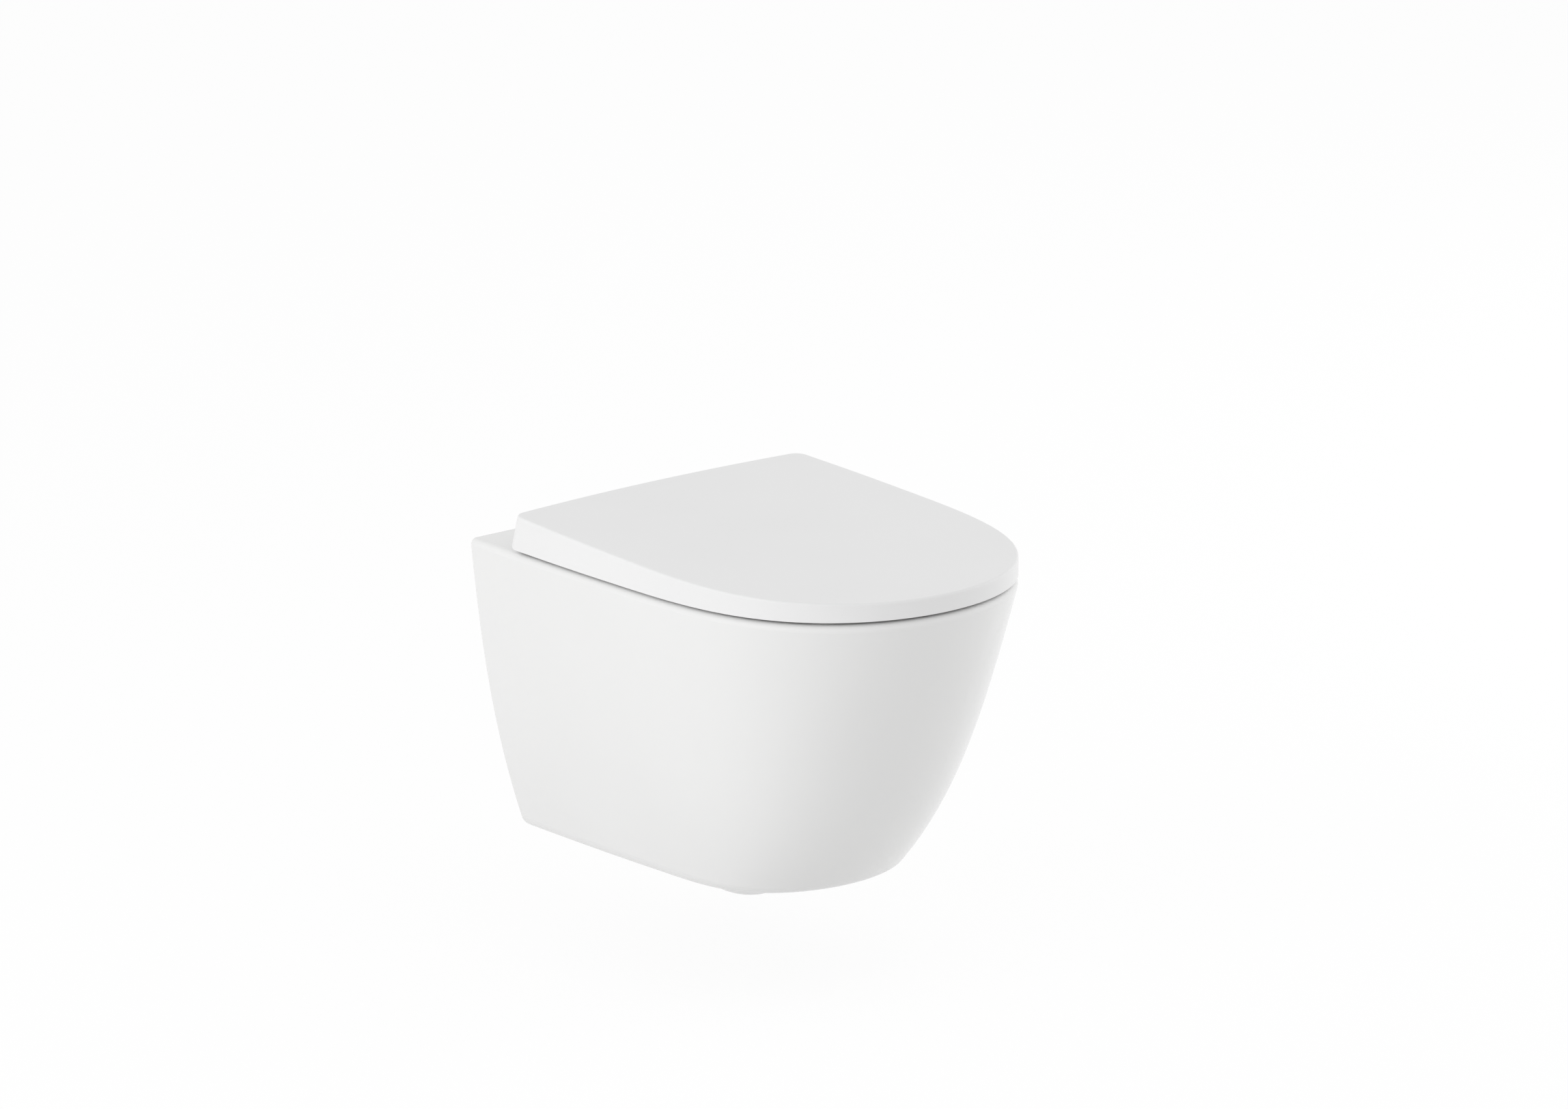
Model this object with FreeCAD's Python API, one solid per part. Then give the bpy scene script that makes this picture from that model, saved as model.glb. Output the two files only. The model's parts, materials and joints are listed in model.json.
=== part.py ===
import FreeCAD, Part
import math
import os

# Wall hung toilet: one vitreous china pan, a wrap-over soft-close seat and lid, their hinges,
# and the concealed fixings that hold the pan on the wall. Millimetres.
# +Z is up, +X is to the right of a person facing the wall, and the pan's nose points to -Y.
# The origin is on the wall face (y = 0), midway between the two fixing bolts.
# Heights "above the rim" are measured from the flat top of the pan, RIM_Z.

V = FreeCAD.Vector

# ---- pan, outside ----
RIM_Z = 80.0               # flat top of the pan above the fixing bolts
PAN_HEIGHT = 295.0         # rim to the lower edge of the skirt
HALF_WIDTH = 180.0         # widest half width, at the rim
PAN_NOSE = 495.5           # wall to the nose, at the rim
STRAIGHT_TOP = 230.0       # length of the nearly straight flank, at the rim
STRAIGHT_BOTTOM = 216.0    # the same at the lower edge
NOSE_POWER = 3.15          # 2 is an ellipse; more is a blunter nose
WALL_TAPER = 6.0           # each flank draws in by this much towards the wall
SIDE_LEAN = 34.5           # flank leans in this much from rim to lower edge
SIDE_CURVE = 31.0          # and curves in this much more
SIDE_POWER = 2.6
NOSE_LEAN = 100.0          # nose leans back this much from rim to lower edge
NOSE_CURVE = 46.0          # and curves back this much more
NOSE_CURVE_POWER = 4.2
RIM_FILLET = 6.0
WALL_EDGE = 1.5            # rounding of the pan's outer edge at the wall
FOOT_FILLET = 18.5
SKIRT_WALL = 11.0          # thickness of the china skirt
DECK_WALL = 12.0           # thickness of the rim and of the deck behind the bowl
FOOT_FLANGE = 24.0         # width of the flange that closes the skirt's lower edge

# ---- bowl ----
BOWL_CENTRE_Y = -302.0
BOWL_HALF_WIDTH = 140.0
BOWL_HALF_LENGTH = 158.0
BOWL_DEPTH = 222.0         # rim to the mouth of the trap
BOWL_POWER = 1.6           # how full the bowl's sides are
BOWL_WALL = 11.0
BOWL_LIP = 7.0             # rounding of the bowl's edge at the rim

# ---- trap, outlet and flush inlet ----
TRAP_RADIUS = 33.0
TRAP_WALL = 9.0
SUMP_Y = -189.5            # lowest point of the trap
SUMP_DROP = 295.0          # rim to the passage's centre line at that point
SUMP_BEND = 60.0
DOWN_ANGLE = 50.0          # slope of the leg from bowl to sump
UP_ANGLE = 60.0            # slope of the leg from sump to outlet
WEIR_BEND = 50.0
OUTLET_DROP = 180.0        # rim to the outlet's centre
OUTLET_RADIUS = 51.0       # outside of the spigot
OUTLET_BORE = 40.0
OUTLET_RECESS = 10.0       # spigot's end stays this far in front of the wall
OUTLET_LENGTH = 40.0
OUTLET_SHOULDER = 8.0      # the spigot's own bore starts this far inside it
WEIR_STEP = 1.0            # the trap's crown lies this much under the outlet bore's crown
INLET_DROP = 45.0          # rim to the flush inlet's centre
INLET_SOCKET = 27.5        # radius of the china socket
INLET_DEPTH = 45.0
INLET_WALL = 10.0
FLUSH_PIPE = 22.5          # radius of the flush pipe that the seal takes
FLUSH_SLOT_WIDTH = 58.0
FLUSH_SLOT_HEIGHT = 22.0
FLUSH_SLOT_CORNER = 8.8
FLUSH_SLOT_OVERLAP = 5.0   # length that the slot runs into the socket
FLUSH_SLOT_REACH = 40.0    # and into the bowl's rear
SEAL_GROOVE = (22.0, 30.0) # start and end of the seal's outer groove, from the wall
SEAL_GROOVE_DEPTH = 1.5
GLAZED_EDGE = 2.5          # rounding of the spigot's end

# ---- concealed wall fixing ----
BOLT_SPACING = 180.0
BOLT_HOLE = 6.5            # radius, for an M12 stud
BRACKET_WIDTH = 42.0
BRACKET_TOP = 24.0         # bracket's top above the stud
BRACKET_BOTTOM = 20.0
BRACKET_LENGTH = 38.0
POCKET_GAP = 1.0
POCKET_FLOOR_GAP = 4.0
POCKET_DEPTH = 62.0
POCKET_CORNER = 4.0
BOSS_WALL = 10.0
BOSS_CORNER = 7.0
BRACKET_CORNER = 3.0
STUD_WASHER = (12.0, 2.5)  # radius, thickness
STUD_NUT = (11.0, 10.0)    # corner radius, height
NUT_BORE = 6.1
CLAMP_SCREW = 4.0          # radius
CLAMP_INSERT = 7.5
CLAMP_HEX = 2.3
CLAMP_HEX_DEPTH = 5.0
CLAMP_COLLAR = (3.0, 2.0)  # how far the insert's collar stands out, thickness
NUT_ROUNDING = 0.95        # a nut's rounded corners against its sharp ones

# ---- lid ----
LID_GAP = 3.0              # lid's lower edge above the rim
LID_NOSE = 493.0
LID_TAPER = 8.6
LID_REAR = 58.0            # wall to the rearmost line of the lid's sides
LID_BOW = 5.0              # lid's rear bulges this much towards the wall at its middle
LID_LEAN = 0.30            # its rear leans forward this much per unit of height
LID_LEAN_Z = 9.5           # height above the rim where LID_REAR is measured
LID_HEEL = 10.0            # radius of the lower rear edge
HEEL_SINK = 0.15           # so that the heel's arc meets the lower edge at a clean corner
LID_NOSE_TOP = 18.7        # lid's top edge above the rim at the nose
LID_SLOPE = 0.0431         # rise of the lid's top per unit of length towards the wall
LID_CROWN = 1.5
LID_TOP_WALL = 3.5
LID_SIDE_WALL = 4.0
LID_REAR_WALL = 3.0
LID_CREASE = 2.5
CREASE_BAND = 1.0          # edges this near to the lid's top line get that rounding
LID_CORNER = 13.0          # rounding of the lid's two rear corners, seen from above
LID_BLOCK = 60.0           # height of the block that the lid is cut from
LID_MARGIN = 40.0          # how far its cutting forms run past it
LID_START = -20.0          # the block's end near the wall
LID_HOLLOW_DROP = 6.0      # its hollow starts this far under the rim
HEEL_FLOOR = 15.0          # its rear form starts this far under the rim

# ---- seat ring ----
SEAT_LIFT = 4.0            # height of the seat's buffers
SEAT_INSET = 6.0           # inside the lid's outline
SEAT_NOSE_TOP = 12.7       # above the rim
SEAT_SLOPE = 0.02
SEAT_REAR = 89.5           # wall to the ring's rear edge
SEAT_HOLE_Y = -300.0
SEAT_HOLE_HALF_WIDTH = 112.0
SEAT_HOLE_HALF_LENGTH = 138.0
SEAT_HOLE_SPLAY = 2.0      # its hole is wider by this much on top and narrower below
SEAT_EDGE = 3.5            # rounding of the ring's upper edges
SEAT_BLOCK = 40.0          # height of the block that the ring is cut from
SEAT_MARGIN = 10.0
SEAT_UNDERCUT = 5.0
BUFFER_RADIUS = 9.0
LID_BUFFER_RADIUS = 7.0
BUFFER_ANGLES = (-52.0, 28.0)   # from +X towards the wall, about the bowl's centre
BUFFER_GAP = 0.2
BUFFER_CHAMFER = 0.8
BUFFER_COLUMN = 30.0       # length of the blank that a lid buffer is cut from
BUFFER_MARGIN = 20.0

# ---- hinges ----
AXIS_Y = -69.5
AXIS_RISE = 20.0           # hinge axis above the rim
HINGE_SPACING = 155.0      # seat bolt to seat bolt
HINGE_BOLT_Y = -103.5
ARM_WIDTH = 13.0
KNUCKLE_RADIUS = 8.0
KNUCKLE_GAP = 1.0
BARREL_RADIUS = 8.5
BARREL_LENGTH = 40.0
BARREL_WEB = 7.5           # half the thickness of the web from a barrel to the lid's top
AXLE_RADIUS = 4.0
RUNNING_GAP = 0.06
BUSH_WALL = 2.0
BUSH_LENGTH = 14.0
BUSH_TAIL = (4.0, 1.0)     # the bore behind a bush: its length, its play round the axle
DAMPER_RADIUS = 6.8
DAMPER_LENGTH = 34.0
DAMPER_WALL = 1.2
DAMPER_CAP = 3.0
DAMPER_PLAY = 1.5          # free length behind the housing
ROTOR_RADIUS = 5.2
ROTOR_LENGTH = 22.0
ROTOR_GAP = 1.0            # between a damper's cap and its rotor
GASKET_THICKNESS = 1.0
FOOT_RADIUS = 19.0
FOOT_THICKNESS = 4.0
FOOT_EDGE = 1.5
ARM_ROOT_GAP = 1.6         # between the bolt's cap and the arm
ARM_ROOT_RISE = 7.0        # arm above the foot at its root
ARM_NECK = (14.0, 16.0)    # its top and underside bend this far in front of the axis
ARM_SHOULDER = 6.0         # its top above the axis at that bend
ARM_HEEL = 3.0
ARM_LEAVES = 30.0          # degrees under level where the arm leaves the knuckle's front
SEAT_BOLT = 3.0
BOLT_TIP = 2.0             # the bolt's end stands this far out of its nut
BOLT_HEAD = (5.2, 4.0)
CAP_WALL = 1.2
CAP_EDGE = 1.0
DECK_HOLE = 7.0
SLEEVE_WALL = 3.7
SLEEVE_LENGTH = 30.0
SLEEVE_NUT = 8.0
NUT_TAPER = 1.0
TONGUE_BOTTOM = 8.0        # seat's rear tongue, above the rim
TONGUE_OVERLAP = 42.0      # how far it runs into the ring
TONGUE_STEP = 24.0         # its thin end starts this far in front of the axis
TONGUE_SHELF = 3.5         # and lies this far under it
TONGUE_REAR = 89.5
TONGUE_RAMP = 10.0
TONGUE_SINK = 0.3          # under the ring's top, so that no two faces coincide
TONGUE_CREST = 4.0         # its middle above the axis
NOTCH_CLEARANCE = 1.5
NOTCH_TOP = 10.0           # above the hinge axis

LEVELS = 7                 # sections through the pan and the bowl
FLANK_STEPS = 4            # points along a straight flank
NOSE_STEPS = 9             # points round half the nose
OVAL_STEPS = 16
SEAM_TURN = 180.0          # degrees, turns a cylinder's seam away from the side in use
OVERCUT = 1.0              # how far a cutting tool runs past what it cuts
NEAR = 0.1                 # how close an edge must be to the place that it is found by
ALONG = 0.9                # an edge runs along an axis if this share of its direction does
TOP_BAND = 0.5             # edges this near to the seat's top line get its rounding
RAY_STEPS = 40             # halvings when a ray is cut by the outline

AXIS_Z = RIM_Z + AXIS_RISE
BOWL_REAR_Y = BOWL_CENTRE_Y + BOWL_HALF_LENGTH + 1
OUTLET_Z = RIM_Z - OUTLET_DROP
INLET_Z = RIM_Z - INLET_DROP
SUMP_Z = RIM_Z - SUMP_DROP


# ---- small helpers ----
def box(x0, x1, y0, y1, z0, z1):
    return Part.makeBox(x1 - x0, y1 - y0, z1 - z0, V(x0, y0, z0))


def rod(radius, start, end):
    """A cylinder from one point to another."""
    run = end.sub(start)
    return Part.makeCylinder(radius, run.Length, start, run)


def x_rod(radius, x0, x1):
    """A cylinder on the hinge axis."""
    low, high = min(x0, x1), max(x0, x1)
    return rod(radius, V(low, AXIS_Y, AXIS_Z), V(high, AXIS_Y, AXIS_Z))


def profile_x(points, x0, x1):
    """A polygon in the YZ plane, extruded along X."""
    low, high = min(x0, x1), max(x0, x1)
    corners = [V(low, y, z) for y, z in points]
    wire = Part.makePolygon(corners + corners[:1])
    return Part.Face(wire).extrude(V(high - low, 0, 0))


def solid(shape):
    """The one solid that a boolean left, without its compound."""
    return max(shape.Solids, key=lambda s: s.Volume)


def save(name, *shapes):
    shape = shapes[0] if len(shapes) == 1 else Part.makeCompound(list(shapes))
    shape.exportStep("parts/" + name + ".step")


def round_edges(shape, radius, wanted):
    edges = [e for e in shape.Edges if wanted(e)]
    return shape.makeFillet(radius, edges)


def edge_mid(edge):
    return edge.valueAt((edge.FirstParameter + edge.LastParameter) / 2)


def runs_along_y(edge):
    return abs(edge.tangentAt(edge.FirstParameter).y) > ALONG


def runs_upright(edge):
    return abs(edge.tangentAt(edge.FirstParameter).z) > ALONG


def lies_at_y(edge, y):
    return abs(edge.BoundBox.YMin - y) < NEAR and abs(edge.BoundBox.YMax - y) < NEAR


# ---- outlines ----
def flank(half_width, nose, straight, taper, start_y):
    """Half of the outline, from the wall along the flank and round to the nose."""
    points = []
    for i in range(FLANK_STEPS):
        y = start_y + (-straight - start_y) * i / FLANK_STEPS
        t = -y / straight
        points.append((half_width - taper * (1 - t) ** 2, y))
    for i in range(NOSE_STEPS + 1):
        a = math.pi / 2 * i / NOSE_STEPS
        y = -straight - (nose - straight) * math.sin(a) ** (2 / NOSE_POWER)
        points.append((half_width * math.cos(a), y))
    return points


def outline(half_width, nose, straight, taper, z, start_y=0.0):
    """The D-shaped outline as one smooth curve, closed by a straight line at the wall side."""
    right = flank(half_width, nose, straight, taper, start_y)
    points = [V(x, y, z) for x, y in right]
    points += [V(-x, y, z) for x, y in reversed(right[:-1])]
    curve = Part.BSplineCurve()
    curve.interpolate(points)
    return Part.Wire([curve.toShape(), Part.makeLine(points[-1], points[0])])


def pan_section(v, inset, start_y=0.0):
    """The pan's outline at the fraction v of its height below the rim."""
    half_width = HALF_WIDTH - SIDE_LEAN * v - SIDE_CURVE * v ** SIDE_POWER
    nose = PAN_NOSE - NOSE_LEAN * v - NOSE_CURVE * v ** NOSE_CURVE_POWER
    straight = STRAIGHT_TOP + (STRAIGHT_BOTTOM - STRAIGHT_TOP) * v
    z = RIM_Z - PAN_HEIGHT * v
    return outline(half_width - inset, nose - inset, straight, WALL_TAPER, z, start_y)


def pan_block(top, bottom, inset, start_y=0.0):
    """The pan's outer form between two depths below the rim, drawn in by inset."""
    sections = []
    for i in range(LEVELS):
        depth = top + (bottom - top) * i / (LEVELS - 1)
        sections.append(pan_section(depth / PAN_HEIGHT, inset, start_y))
    return Part.makeLoft(sections, True)


def oval(centre_y, half_x, half_y, z):
    points = []
    for i in range(OVAL_STEPS):
        a = 2 * math.pi * i / OVAL_STEPS
        points.append(V(half_x * math.cos(a), centre_y + half_y * math.sin(a), z))
    curve = Part.BSplineCurve()
    curve.interpolate(Points=points, PeriodicFlag=True)
    return Part.Wire(curve.toShape())


# ---- trap path: bowl, sump, up-leg, weir, outlet ----
DOWN = math.radians(DOWN_ANGLE)
UP = math.radians(UP_ANGLE)
TRAP_ABOVE = 30.0          # the trap's pipe starts this far above the bowl's foot
BEND_Z = SUMP_Z + SUMP_BEND
DOWN_START = V(0, SUMP_Y - SUMP_BEND * math.sin(DOWN), BEND_Z - SUMP_BEND * math.cos(DOWN))
WEIR_Z = OUTLET_Z + OUTLET_BORE - WEIR_STEP - TRAP_RADIUS
FOOT_Z = RIM_Z - BOWL_DEPTH
FOOT_Y = DOWN_START.y - (FOOT_Z - DOWN_START.z) / math.tan(DOWN)
FOOT_MARGIN = 3.0


def trap_path():
    top = V(0, FOOT_Y - TRAP_ABOVE / math.tan(DOWN), FOOT_Z + TRAP_ABOVE)
    sump = V(0, SUMP_Y, SUMP_Z)
    up_start = V(0, SUMP_Y + SUMP_BEND * math.sin(UP), BEND_Z - SUMP_BEND * math.cos(UP))
    up_end_z = WEIR_Z - WEIR_BEND * (1 - math.cos(UP))
    up_end = V(0, up_start.y + (up_end_z - up_start.z) / math.tan(UP), up_end_z)
    weir = V(0, up_end.y + WEIR_BEND * math.sin(UP), WEIR_Z)
    half = UP / 2
    crest = V(0, weir.y - WEIR_BEND * math.sin(half), WEIR_Z - WEIR_BEND * (1 - math.cos(half)))
    end = V(0, -OUTLET_RECESS - OUTLET_LENGTH / 2, WEIR_Z)
    return Part.Wire([
        Part.makeLine(top, DOWN_START),
        Part.Arc(DOWN_START, sump, up_start).toShape(),
        Part.makeLine(up_start, up_end),
        Part.Arc(up_end, crest, weir).toShape(),
        Part.makeLine(weir, end),
    ])


def trap_pipe(radius):
    path = trap_path()
    first = path.OrderedVertexes[0].Point
    second = path.OrderedVertexes[1].Point
    ring = Part.Wire(Part.makeCircle(radius, first, second.sub(first)))
    return path.makePipeShell([ring], True, False)


# ---- pan ----
def bowl_block(wall, top, bottom):
    """The bowl's inner form grown by wall, from top to bottom below the rim."""
    sections = []
    foot_x = TRAP_RADIUS + FOOT_MARGIN
    foot_y = TRAP_RADIUS / math.sin(DOWN) + FOOT_MARGIN
    front = BOWL_CENTRE_Y - BOWL_HALF_LENGTH
    rear = BOWL_CENTRE_Y + BOWL_HALF_LENGTH
    for i in range(LEVELS + 2):
        s = i / (LEVELS + 1)
        fullness = 1 - s ** BOWL_POWER
        half_x = foot_x + (BOWL_HALF_WIDTH - foot_x) * fullness + wall
        y0 = FOOT_Y - foot_y + (front - FOOT_Y + foot_y) * fullness - wall
        y1 = FOOT_Y + foot_y + (rear - FOOT_Y - foot_y) * fullness + wall
        z = RIM_Z - top - (bottom - top) * s
        sections.append(oval((y0 + y1) / 2, half_x, (y1 - y0) / 2, z))
    return Part.makeLoft(sections, True)


def fixing_boss(side):
    """The china round one wall bracket's pocket, with a shelf out to the skirt."""
    centre = side * BOLT_SPACING / 2
    half = BRACKET_WIDTH / 2 + POCKET_GAP + BOSS_WALL
    top = BRACKET_TOP + BOSS_WALL
    bottom = -BRACKET_BOTTOM - POCKET_FLOOR_GAP - BOSS_WALL
    depth = POCKET_DEPTH + BOSS_WALL
    body = box(centre - half, centre + half, -depth, 0, bottom, top)
    body = round_edges(body, BOSS_CORNER, lambda e: runs_along_y(e) or lies_at_y(e, -depth))
    near, far = sorted((centre, side * (HALF_WIDTH - SIDE_LEAN / 2 - SKIRT_WALL / 2)))
    upper = box(near, far, -depth, 0, top - BOSS_WALL, top)
    lower = box(near, far, -depth, 0, bottom, bottom + BOSS_WALL)
    return [body, upper, lower]


def fixing_pocket(side):
    centre = side * BOLT_SPACING / 2
    half = BRACKET_WIDTH / 2 + POCKET_GAP
    floor = -BRACKET_BOTTOM - POCKET_FLOOR_GAP
    pocket = box(centre - half, centre + half, -POCKET_DEPTH, OVERCUT, floor, BRACKET_TOP)
    pocket = round_edges(pocket, POCKET_CORNER, runs_along_y)
    y = -BRACKET_LENGTH / 2
    low, high = V(centre, y, floor - BOSS_WALL - OVERCUT), V(centre, y, floor + OVERCUT)
    hole = rod(CLAMP_INSERT, low, high)
    return [pocket, hole]


def flush_channel():
    """The inlet's socket, then the flat channel that lets the water into the bowl's rear."""
    socket = rod(INLET_SOCKET, V(0, OVERCUT, INLET_Z), V(0, -INLET_DEPTH, INLET_Z))
    start_y = FLUSH_SLOT_OVERLAP - INLET_DEPTH
    end_y = BOWL_CENTRE_Y + BOWL_HALF_LENGTH - FLUSH_SLOT_REACH
    half = FLUSH_SLOT_WIDTH / 2
    low = INLET_Z - FLUSH_SLOT_HEIGHT / 2
    slot = box(-half, half, end_y, start_y, low, low + FLUSH_SLOT_HEIGHT)
    return [socket, round_edges(slot, FLUSH_SLOT_CORNER, runs_along_y)]


def pan_shell():
    """The skirt and the deck, rounded outside, hollow and open at the wall and underneath."""
    outer = pan_block(0, PAN_HEIGHT, 0)
    bottom_z = RIM_Z - PAN_HEIGHT

    def rim_edge(e):
        return e.BoundBox.ZMin > RIM_Z - NEAR and e.BoundBox.YLength > HALF_WIDTH

    def foot_edge(e):
        return e.BoundBox.ZMax < bottom_z + NEAR and e.BoundBox.YLength > HALF_WIDTH

    def wall_edge(e):
        return e.BoundBox.ZMin > RIM_Z - NEAR and lies_at_y(e, 0)

    outer = round_edges(outer, RIM_FILLET, rim_edge)
    outer = round_edges(outer, FOOT_FILLET, foot_edge)
    outer = round_edges(outer, WALL_EDGE, wall_edge)
    start_y = OVERCUT + RIM_FILLET
    cavity = pan_block(DECK_WALL, PAN_HEIGHT - SKIRT_WALL, SKIRT_WALL, start_y)
    above, below = PAN_HEIGHT - 2 * SKIRT_WALL, PAN_HEIGHT + OVERCUT
    opening = pan_block(above, below, FOOT_FLANGE, start_y)
    return outer.cut(cavity).cut(opening)


def pan_ports():
    """The outlet's spigot and the flush inlet's body, before they are bored."""
    end = -OUTLET_RECESS
    start = end - OUTLET_LENGTH
    spigot = rod(OUTLET_RADIUS, V(0, start, OUTLET_Z), V(0, end, OUTLET_Z))
    spigot = round_edges(spigot, GLAZED_EDGE, lambda e: lies_at_y(e, end))
    inlet_end = BOWL_CENTRE_Y + BOWL_HALF_LENGTH
    inlet = rod(INLET_SOCKET + INLET_WALL, V(0, inlet_end, INLET_Z), V(0, 0, INLET_Z))
    return [spigot, inlet.common(pan_block(OVERCUT, PAN_HEIGHT, OVERCUT))]


def make_pan():
    extras = [bowl_block(BOWL_WALL, OVERCUT, BOWL_DEPTH + BOWL_WALL)]
    extras += [trap_pipe(TRAP_RADIUS + TRAP_WALL)] + pan_ports()
    extras += fixing_boss(1) + fixing_boss(-1)
    body = pan_shell().multiFuse(extras)

    bore_start = OUTLET_SHOULDER - OUTLET_RECESS - OUTLET_LENGTH
    outlet = rod(OUTLET_BORE, V(0, bore_start, OUTLET_Z), V(0, OVERCUT, OUTLET_Z))
    holes = [bowl_block(0, 0, BOWL_DEPTH), trap_pipe(TRAP_RADIUS), outlet]
    holes += flush_channel() + fixing_pocket(1) + fixing_pocket(-1)
    for side in (1, -1):
        x = side * HINGE_SPACING / 2
        low = V(x, HINGE_BOLT_Y, RIM_Z - 2 * DECK_WALL)
        holes.append(rod(DECK_HOLE, low, V(x, HINGE_BOLT_Y, RIM_Z + OVERCUT)))
    body = solid(body.cut(holes))

    def lip(e):
        flat = e.BoundBox.ZMin > RIM_Z - NEAR
        return flat and e.BoundBox.XLength > BOWL_HALF_WIDTH and e.BoundBox.YMax < BOWL_REAR_Y

    return solid(round_edges(body, BOWL_LIP, lip))


# ---- seals and wall fixings ----
def make_inlet_seal():
    """Rubber sleeve between the china socket and the flush pipe, with a flange inside."""
    outer = rod(INLET_SOCKET, V(0, -INLET_DEPTH, INLET_Z), V(0, 0, INLET_Z))
    bore = rod(FLUSH_PIPE, V(0, -INLET_DEPTH - OVERCUT, INLET_Z), V(0, OVERCUT, INLET_Z))
    near, far = V(0, -SEAL_GROOVE[0], INLET_Z), V(0, -SEAL_GROOVE[1], INLET_Z)
    groove = rod(INLET_SOCKET + OVERCUT, far, near)
    core = rod(INLET_SOCKET - SEAL_GROOVE_DEPTH, far, near)
    return outer.cut(groove.cut(core)).cut(bore)


def make_wall_bracket(side):
    """The block that slides over the wall's stud and carries the pan on its top."""
    centre = side * BOLT_SPACING / 2
    half = BRACKET_WIDTH / 2
    body = box(centre - half, centre + half, -BRACKET_LENGTH, 0, -BRACKET_BOTTOM, BRACKET_TOP)
    body = round_edges(body, BRACKET_CORNER, runs_along_y)
    start, end = V(centre, OVERCUT, 0), V(centre, -BRACKET_LENGTH - OVERCUT, 0)
    return body.cut(rod(BOLT_HOLE, start, end))


def hexagon(corner_radius, start, end, across):
    """A hexagonal prism from start to end, with across as its second axis beside X."""
    corners = []
    for i in range(6):
        a = math.pi / 3 * i
        along_x = V(1, 0, 0).multiply(corner_radius * math.cos(a))
        corners.append(start.add(along_x).add(V(across).multiply(corner_radius * math.sin(a))))
    return Part.Face(Part.makePolygon(corners + corners[:1])).extrude(end.sub(start))


def make_wall_washer(side):
    radius, thickness = STUD_WASHER
    start = V(side * BOLT_SPACING / 2, -BRACKET_LENGTH, 0)
    end = start.sub(V(0, thickness, 0))
    return rod(radius, start, end).cut(rod(BOLT_HOLE, start, end))


def make_wall_nut(side):
    radius, height = STUD_NUT
    start = V(side * BOLT_SPACING / 2, -BRACKET_LENGTH - STUD_WASHER[1], 0)
    end = start.sub(V(0, height, 0))
    nut = hexagon(radius, start, end, V(0, 0, 1))
    nut = nut.common(rod(radius * NUT_ROUNDING, start, end))
    return nut.cut(rod(NUT_BORE, start, end))


def clamp_place(side):
    return side * BOLT_SPACING / 2, -BRACKET_LENGTH / 2


def make_clamp_insert(side):
    """Threaded plastic insert in the pocket's floor, with a collar below it."""
    x, y = clamp_place(side)
    top = -BRACKET_BOTTOM - POCKET_FLOOR_GAP
    bottom = top - BOSS_WALL
    stand, thickness = CLAMP_COLLAR
    body = rod(CLAMP_INSERT, V(x, y, bottom), V(x, y, top))
    collar = rod(CLAMP_INSERT + stand, V(x, y, bottom - thickness), V(x, y, bottom))
    body = body.fuse(collar).removeSplitter()
    low, high = V(x, y, bottom - thickness - OVERCUT), V(x, y, top + OVERCUT)
    return body.cut(rod(CLAMP_SCREW, low, high))


def make_clamp_screw(side):
    """Socket set screw that presses up on the bracket and so draws the pan down on it."""
    x, y = clamp_place(side)
    bottom = -BRACKET_BOTTOM - POCKET_FLOOR_GAP - BOSS_WALL
    screw = rod(CLAMP_SCREW, V(x, y, bottom), V(x, y, -BRACKET_BOTTOM))
    low, high = V(x, y, bottom - OVERCUT), V(x, y, bottom + CLAMP_HEX_DEPTH)
    return screw.cut(hexagon(CLAMP_HEX, low, high, V(0, 1, 0)))


# ---- lid ----
def lid_rear_at(x, wall, z):
    """Where the lid's leaning rear is, at one place across it and one height."""
    bow = LID_BOW * (1 - (x / HALF_WIDTH) ** 2)
    rise = z - RIM_Z - LID_LEAN_Z
    return -LID_REAR + bow - LID_LEAN * rise - wall / math.cos(math.atan(LID_LEAN))


def lid_rear_profile(x, wall):
    """Side view of everything in front of the lid's rear, at one place across it."""
    reach = -LID_NOSE - LID_MARGIN
    low, high = RIM_Z - HEEL_FLOOR, RIM_Z + LID_BLOCK
    corners = [V(x, reach, low), V(x, lid_rear_at(x, wall, low), low),
               V(x, lid_rear_at(x, wall, high), high), V(x, reach, high)]
    return Part.makePolygon(corners + corners[:1])


def heel_profile(x, wall):
    """Side view of what the rounded lower rear edge leaves out, at one place across it."""
    radius = LID_HEEL - wall
    centre_z = RIM_Z + LID_GAP + LID_HEEL - HEEL_SINK
    centre_y = lid_rear_at(x, LID_HEEL, centre_z)
    start_a = -math.pi / 2
    end_a = math.atan(LID_LEAN)

    def at(a):
        return V(x, centre_y + radius * math.cos(a), centre_z + radius * math.sin(a))

    low, heel, high = at(start_a), at((start_a + end_a) / 2), at(end_a)
    rear, floor = high.y + LID_MARGIN, RIM_Z - HEEL_FLOOR - OVERCUT
    corners = [high, V(x, rear, high.z), V(x, rear, floor), V(x, low.y, floor), low]
    edges = [Part.Arc(low, heel, high).toShape()]
    edges += [Part.makeLine(a, b) for a, b in zip(corners, corners[1:])]
    return Part.Wire(Part.__sortEdges__(edges))


def lid_top_block(drop):
    """Everything under the lid's slightly crowned, sloping top."""
    radius = HALF_WIDTH ** 2 / (2 * LID_CROWN)
    slope = V(0, 1, LID_SLOPE)
    start = V(0, -LID_NOSE - LID_MARGIN, 0)
    crest = RIM_Z + LID_NOSE_TOP + LID_CROWN - drop - LID_SLOPE * LID_MARGIN
    down = V(0, LID_SLOPE, -1).normalize()
    centre = V(0, start.y, crest).add(down.multiply(radius))
    block = Part.makeCylinder(radius, LID_NOSE + 2 * LID_MARGIN, centre, slope)
    block.rotate(centre, slope, SEAM_TURN)
    return block


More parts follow.
